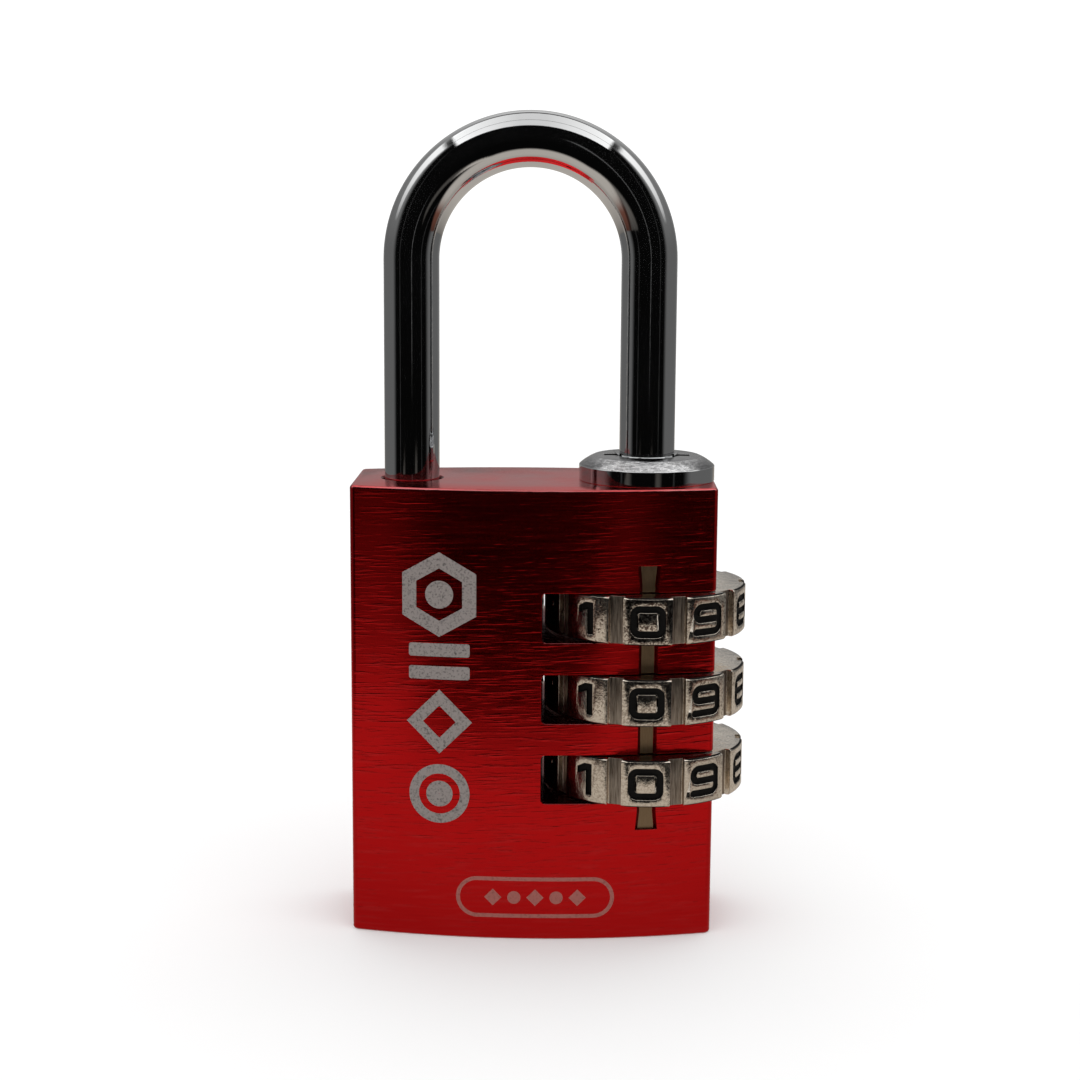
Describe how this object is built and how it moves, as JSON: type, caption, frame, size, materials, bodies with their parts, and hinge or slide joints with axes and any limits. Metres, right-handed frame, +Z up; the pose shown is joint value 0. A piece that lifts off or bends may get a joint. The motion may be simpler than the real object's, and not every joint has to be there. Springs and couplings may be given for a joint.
{
  "type": "combination padlock",
  "caption": "Small keyless padlock: crowned solid body, number dials on one side, round-bar shackle with a plain toe leg and a heel leg guided by a slotted collar.",
  "frame": {"origin": "middle of the body's flat bottom face", "axes": "+Z up towards the shackle arch, -Y the numbered front, +X towards the heel leg and the dials"},
  "size_m": [0.0328, 0.0168, 0.0679],
  "materials": {
    "red_anodised": "solid aluminium, horizontally brushed and anodised deep red",
    "chrome_plate": "polished chrome plate on steel",
    "nickel_plate": "satin nickel plate on die-cast zinc, numbers filled black",
    "brass": "turned brass, as machined",
    "steel": "plain spring steel and zinc-plated steel"
  },
  "bodies": {
    "body": {"body_block": "red_anodised", "base_plug": "red_anodised", "collar_nut": "chrome_plate", "thrust_washer": "steel", "reset_spring": "steel", "detent_spring_top": "steel", "detent_spring_middle": "steel", "detent_spring_bottom": "steel"},
    "shackle": {"shackle": "chrome_plate", "heel_clip": "steel"},
    "stack": {"spring_seat": "steel"},
    "dial_top": {"dial_top": "nickel_plate"},
    "driver_top": {"driver_top": "brass"},
    "detent_ball_top": {"detent_ball_top": "steel"},
    "dial_middle": {"dial_middle": "nickel_plate"},
    "driver_middle": {"driver_middle": "brass"},
    "detent_ball_middle": {"detent_ball_middle": "steel"},
    "dial_bottom": {"dial_bottom": "nickel_plate"},
    "driver_bottom": {"driver_bottom": "brass"},
    "detent_ball_bottom": {"detent_ball_bottom": "steel"}
  },
  "joints": [
    {"name": "shackle_lift", "type": "slide", "parent": "body", "child": "shackle", "axis": [0, 0, 1], "range_m": [0, 0.00675]},
    {"name": "code_change_push", "type": "slide", "parent": "body", "child": "stack", "axis": [0, 0, -1], "range_m": [0, 0.0018], "stiffness_N_per_m": 1500, "springref_m": -0.002, "deforming": ["reset_spring"]},
    {"name": "dial_top_turn", "type": "hinge", "parent": "body", "child": "dial_top", "pos_m": [0.00933, 0, 0.0272], "axis": [0, 0, 1], "continuous": true},
    {"name": "dial_middle_turn", "type": "hinge", "parent": "body", "child": "dial_middle", "pos_m": [0.00933, 0, 0.02045], "axis": [0, 0, 1], "continuous": true},
    {"name": "dial_bottom_turn", "type": "hinge", "parent": "body", "child": "dial_bottom", "pos_m": [0.00933, 0, 0.0137], "axis": [0, 0, 1], "continuous": true},
    {"name": "driver_top_turn", "type": "hinge", "parent": "stack", "child": "driver_top", "pos_m": [0.00933, 0, 0.0272], "axis": [0, 0, 1], "continuous": true},
    {"name": "driver_middle_turn", "type": "hinge", "parent": "stack", "child": "driver_middle", "pos_m": [0.00933, 0, 0.02045], "axis": [0, 0, 1], "continuous": true},
    {"name": "driver_bottom_turn", "type": "hinge", "parent": "stack", "child": "driver_bottom", "pos_m": [0.00933, 0, 0.0137], "axis": [0, 0, 1], "continuous": true},
    {"name": "detent_top_drop", "type": "slide", "parent": "body", "child": "detent_ball_top", "axis": [1, 0, 0], "range_m": [0, 0.0005]},
    {"name": "detent_middle_drop", "type": "slide", "parent": "body", "child": "detent_ball_middle", "axis": [1, 0, 0], "range_m": [0, 0.0005]},
    {"name": "detent_bottom_drop", "type": "slide", "parent": "body", "child": "detent_ball_bottom", "axis": [1, 0, 0], "range_m": [0, 0.0005]}
  ],
  "couplings": [
    {"joint": "driver_top_turn", "follows": "dial_top_turn", "ratio": 1},
    {"joint": "driver_middle_turn", "follows": "dial_middle_turn", "ratio": 1},
    {"joint": "driver_bottom_turn", "follows": "dial_bottom_turn", "ratio": 1}
  ]
}
